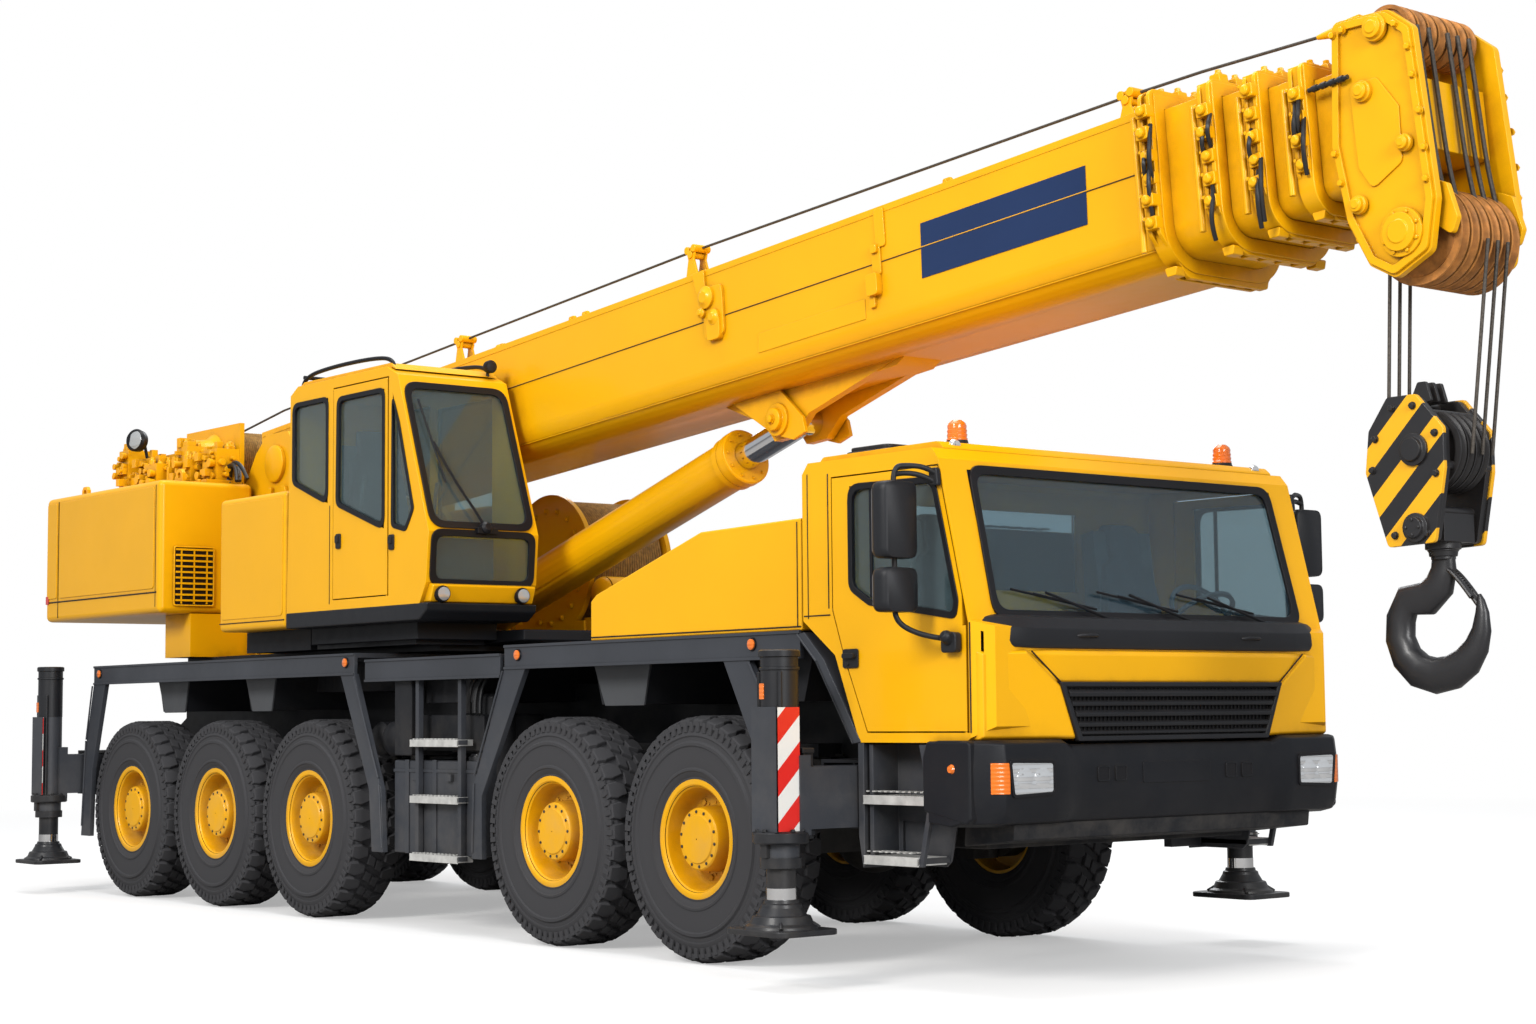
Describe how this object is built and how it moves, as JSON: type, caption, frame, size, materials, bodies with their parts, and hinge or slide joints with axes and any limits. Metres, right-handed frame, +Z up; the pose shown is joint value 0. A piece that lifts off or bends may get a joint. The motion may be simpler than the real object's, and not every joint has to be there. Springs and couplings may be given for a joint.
{
  "type": "mobile crane",
  "caption": "All-terrain mobile crane: a carrier with paired and triple axles, a slewing upper machine, a telescopic boom with hook block, and sliding outriggers.",
  "frame": {"origin": "on the ground, under the middle of the crane's length and width", "axes": "+X forward, +Y to the left, +Z up"},
  "size_m": [13.6325, 3.99, 4.8088],
  "materials": {
    "yellow_paint": "gloss chrome-yellow paint",
    "dark_paint": "satin blue-grey paint",
    "tyre_rubber": "matt rubber",
    "cab_glass": "tinted clear",
    "cab_trim": "grained",
    "black_plastic": "satin",
    "lamp_lens": "clear orange",
    "chrome_rod": "polished",
    "steel_rope": "greased wire",
    "black_steel": "satin black",
    "cast_iron": "rough"
  },
  "bodies": {
    "carrier": {"chassis_frame": "dark_paint", "deck_plates": "dark_paint", "storage_boxes": "dark_paint", "ladders_and_steps": "dark_paint", "engine_block": "cast_iron", "engine_cover": "yellow_paint", "drive_cab_shell": "yellow_paint", "drive_cab_glass": "cab_glass", "drive_cab_interior": "cab_trim", "front_bumper": "black_plastic", "front_grille": "black_plastic", "carrier_lamps": "lamp_lens", "axle_beams": "dark_paint"},
    "wheel_1_right": {"wheel_1_right": "tyre_rubber"},
    "knuckle_1_right": {"knuckle_1_right": "dark_paint"},
    "wheel_1_left": {"wheel_1_left": "tyre_rubber"},
    "knuckle_1_left": {"knuckle_1_left": "dark_paint"},
    "wheel_2_right": {"wheel_2_right": "tyre_rubber"},
    "knuckle_2_right": {"knuckle_2_right": "dark_paint"},
    "wheel_2_left": {"wheel_2_left": "tyre_rubber"},
    "knuckle_2_left": {"knuckle_2_left": "dark_paint"},
    "wheel_3_right": {"wheel_3_right": "tyre_rubber"},
    "wheel_3_left": {"wheel_3_left": "tyre_rubber"},
    "wheel_4_right": {"wheel_4_right": "tyre_rubber"},
    "wheel_4_left": {"wheel_4_left": "tyre_rubber"},
    "wheel_5_right": {"wheel_5_right": "tyre_rubber"},
    "wheel_5_left": {"wheel_5_left": "tyre_rubber"},
    "outrigger_front_right": {"outrigger_front_right": "dark_paint"},
    "jack_front_right": {"jack_front_right": "dark_paint"},
    "outrigger_front_left": {"outrigger_front_left": "dark_paint"},
    "jack_front_left": {"jack_front_left": "dark_paint"},
    "outrigger_rear_right": {"outrigger_rear_right": "dark_paint"},
    "jack_rear_right": {"jack_rear_right": "dark_paint"},
    "outrigger_rear_left": {"outrigger_rear_left": "dark_paint"},
    "jack_rear_left": {"jack_rear_left": "dark_paint"},
    "drive_door_right": {"drive_door_right": "yellow_paint", "door_glass_right": "cab_glass"},
    "drive_door_left": {"drive_door_left": "yellow_paint", "door_glass_left": "cab_glass"},
    "superstructure": {"slew_platform": "yellow_paint", "counterweight": "yellow_paint", "side_housings": "yellow_paint", "op_cab_shell": "yellow_paint", "op_cab_glass": "cab_glass", "op_cab_interior": "cab_trim", "winches": "yellow_paint"},
    "op_cab_door": {"op_cab_door": "yellow_paint", "op_door_glass": "cab_glass"},
    "boom_base": {"boom_base": "yellow_paint"},
    "lift_barrel": {"lift_barrel": "yellow_paint"},
    "lift_rod": {"lift_rod": "chrome_rod"},
    "boom_section_1": {"boom_section_1": "yellow_paint"},
    "boom_section_2": {"boom_section_2": "yellow_paint"},
    "boom_section_3": {"boom_section_3": "yellow_paint"},
    "boom_section_4": {"boom_section_4": "yellow_paint", "boom_head": "yellow_paint"},
    "hook_hanger": {"rope_falls": "steel_rope"},
    "hook_block": {"hook_block": "black_steel"},
    "hook": {"hook": "black_steel"}
  },
  "joints": [
    {"name": "steer_1_right", "type": "hinge", "parent": "carrier", "child": "knuckle_1_right", "pos_m": [2.35292, -0.93, 0.7], "axis": [0, 0, 1], "range_deg": [-28, 28]},
    {"name": "spin_1_right", "type": "hinge", "parent": "knuckle_1_right", "child": "wheel_1_right", "pos_m": [2.35292, -1.175, 0.7], "axis": [0, 1, 0], "continuous": true},
    {"name": "steer_1_left", "type": "hinge", "parent": "carrier", "child": "knuckle_1_left", "pos_m": [2.35292, 0.93, 0.7], "axis": [0, 0, 1], "range_deg": [-28, 28]},
    {"name": "spin_1_left", "type": "hinge", "parent": "knuckle_1_left", "child": "wheel_1_left", "pos_m": [2.35292, 1.175, 0.7], "axis": [0, 1, 0], "continuous": true},
    {"name": "steer_2_right", "type": "hinge", "parent": "carrier", "child": "knuckle_2_right", "pos_m": [0.89292, -0.93, 0.7], "axis": [0, 0, 1], "range_deg": [-22.4, 22.4]},
    {"name": "spin_2_right", "type": "hinge", "parent": "knuckle_2_right", "child": "wheel_2_right", "pos_m": [0.89292, -1.175, 0.7], "axis": [0, 1, 0], "continuous": true},
    {"name": "steer_2_left", "type": "hinge", "parent": "carrier", "child": "knuckle_2_left", "pos_m": [0.89292, 0.93, 0.7], "axis": [0, 0, 1], "range_deg": [-22.4, 22.4]},
    {"name": "spin_2_left", "type": "hinge", "parent": "knuckle_2_left", "child": "wheel_2_left", "pos_m": [0.89292, 1.175, 0.7], "axis": [0, 1, 0], "continuous": true},
    {"name": "spin_3_right", "type": "hinge", "parent": "carrier", "child": "wheel_3_right", "pos_m": [-2.16708, -1.175, 0.7], "axis": [0, 1, 0], "continuous": true},
    {"name": "spin_3_left", "type": "hinge", "parent": "carrier", "child": "wheel_3_left", "pos_m": [-2.16708, 1.175, 0.7], "axis": [0, 1, 0], "continuous": true},
    {"name": "spin_4_right", "type": "hinge", "parent": "carrier", "child": "wheel_4_right", "pos_m": [-3.62708, -1.175, 0.7], "axis": [0, 1, 0], "continuous": true},
    {"name": "spin_4_left", "type": "hinge", "parent": "carrier", "child": "wheel_4_left", "pos_m": [-3.62708, 1.175, 0.7], "axis": [0, 1, 0], "continuous": true},
    {"name": "spin_5_right", "type": "hinge", "parent": "carrier", "child": "wheel_5_right", "pos_m": [-5.08708, -1.175, 0.7], "axis": [0, 1, 0], "continuous": true},
    {"name": "spin_5_left", "type": "hinge", "parent": "carrier", "child": "wheel_5_left", "pos_m": [-5.08708, 1.175, 0.7], "axis": [0, 1, 0], "continuous": true},
    {"name": "slide_front_right", "type": "slide", "parent": "carrier", "child": "outrigger_front_right", "axis": [0, -1, 0], "range_m": [-0.25, 1.7]},
    {"name": "jack_front_right", "type": "slide", "parent": "outrigger_front_right", "child": "jack_front_right", "axis": [0, 0, -1], "range_m": [-0.1, 0.27]},
    {"name": "slide_front_left", "type": "slide", "parent": "carrier", "child": "outrigger_front_left", "axis": [0, 1, 0], "range_m": [-0.25, 1.7]},
    {"name": "jack_front_left", "type": "slide", "parent": "outrigger_front_left", "child": "jack_front_left", "axis": [0, 0, -1], "range_m": [-0.1, 0.27]},
    {"name": "slide_rear_right", "type": "slide", "parent": "carrier", "child": "outrigger_rear_right", "axis": [0, -1, 0], "range_m": [-0.25, 1.7]},
    {"name": "jack_rear_right", "type": "slide", "parent": "outrigger_rear_right", "child": "jack_rear_right", "axis": [0, 0, -1], "range_m": [-0.1, 0.232]},
    {"name": "slide_rear_left", "type": "slide", "parent": "carrier", "child": "outrigger_rear_left", "axis": [0, 1, 0], "range_m": [-0.25, 1.7]},
    {"name": "jack_rear_left", "type": "slide", "parent": "outrigger_rear_left", "child": "jack_rear_left", "axis": [0, 0, -1], "range_m": [-0.1, 0.232]},
    {"name": "drive_door_right", "type": "hinge", "parent": "carrier", "child": "drive_door_right", "pos_m": [4.60492, -1.367, 1.9], "axis": [0, 0, 1], "range_deg": [0, 70]},
    {"name": "drive_door_left", "type": "hinge", "parent": "carrier", "child": "drive_door_left", "pos_m": [4.60492, 1.367, 1.9], "axis": [0, 0, -1], "range_deg": [0, 70]},
    {"name": "slew", "type": "hinge", "parent": "carrier", "child": "superstructure", "pos_m": [-2.94708, 0, 1.86], "axis": [0, 0, 1], "continuous": true},
    {"name": "op_cab_door", "type": "hinge", "parent": "superstructure", "child": "op_cab_door", "pos_m": [-1.06508, -1.367, 3], "axis": [0, 0, 1], "range_deg": [0, 85]},
    {"name": "luff", "type": "hinge", "parent": "superstructure", "child": "boom_base", "pos_m": [-4.24708, 0, 3.45], "axis": [0, -1, 0], "range_deg": [-3, 72]},
    {"name": "lift_pivot", "type": "hinge", "parent": "superstructure", "child": "lift_barrel", "pos_m": [-2.24708, 0, 2.06], "axis": [0, -1, 0], "range_deg": [-3.55, 73.59]},
    {"name": "lift_stroke", "type": "slide", "parent": "lift_barrel", "child": "lift_rod", "axis": [0.9586, 0, 0.2848], "range_m": [-0.129, 2.871]},
    {"name": "telescope_1", "type": "slide", "parent": "boom_base", "child": "boom_section_1", "axis": [0.9969, 0, 0.0785], "range_m": [0, 8]},
    {"name": "telescope_2", "type": "slide", "parent": "boom_section_1", "child": "boom_section_2", "axis": [0.9969, 0, 0.0785], "range_m": [-0.02, 8.02]},
    {"name": "telescope_3", "type": "slide", "parent": "boom_section_2", "child": "boom_section_3", "axis": [0.9969, 0, 0.0785], "range_m": [-0.02, 8.02]},
    {"name": "telescope_4", "type": "slide", "parent": "boom_section_3", "child": "boom_section_4", "axis": [0.9969, 0, 0.0785], "range_m": [-0.02, 8.02]},
    {"name": "hook_hang", "type": "hinge", "parent": "boom_section_4", "child": "hook_hanger", "pos_m": [6.55908, 0, 3.6304], "axis": [0, -1, 0], "range_deg": [-72.5, 3.5]},
    {"name": "hoist", "type": "slide", "parent": "hook_hanger", "child": "hook_block", "axis": [0, 0, 1], "range_m": [0, 0.4], "deforming": ["rope_falls"]},
    {"name": "hook_swivel", "type": "hinge", "parent": "hook_block", "child": "hook", "pos_m": [6.47292, 0, 2.1], "axis": [0, 0, 1], "continuous": true}
  ],
  "couplings": [
    {"joint": "steer_1_left", "follows": "steer_1_right", "ratio": 1},
    {"joint": "steer_2_right", "follows": "steer_1_right", "ratio": 0.78},
    {"joint": "steer_2_left", "follows": "steer_1_right", "ratio": 0.78},
    {"joint": "lift_pivot", "follows": "luff", "ratio": 1.0151},
    {"joint": "lift_stroke", "follows": "luff", "m_per_rad": 2.277},
    {"joint": "telescope_2", "follows": "telescope_1", "ratio": 1},
    {"joint": "telescope_3", "follows": "telescope_1", "ratio": 1},
    {"joint": "telescope_4", "follows": "telescope_1", "ratio": 1},
    {"joint": "hook_hang", "follows": "luff", "ratio": -1}
  ]
}
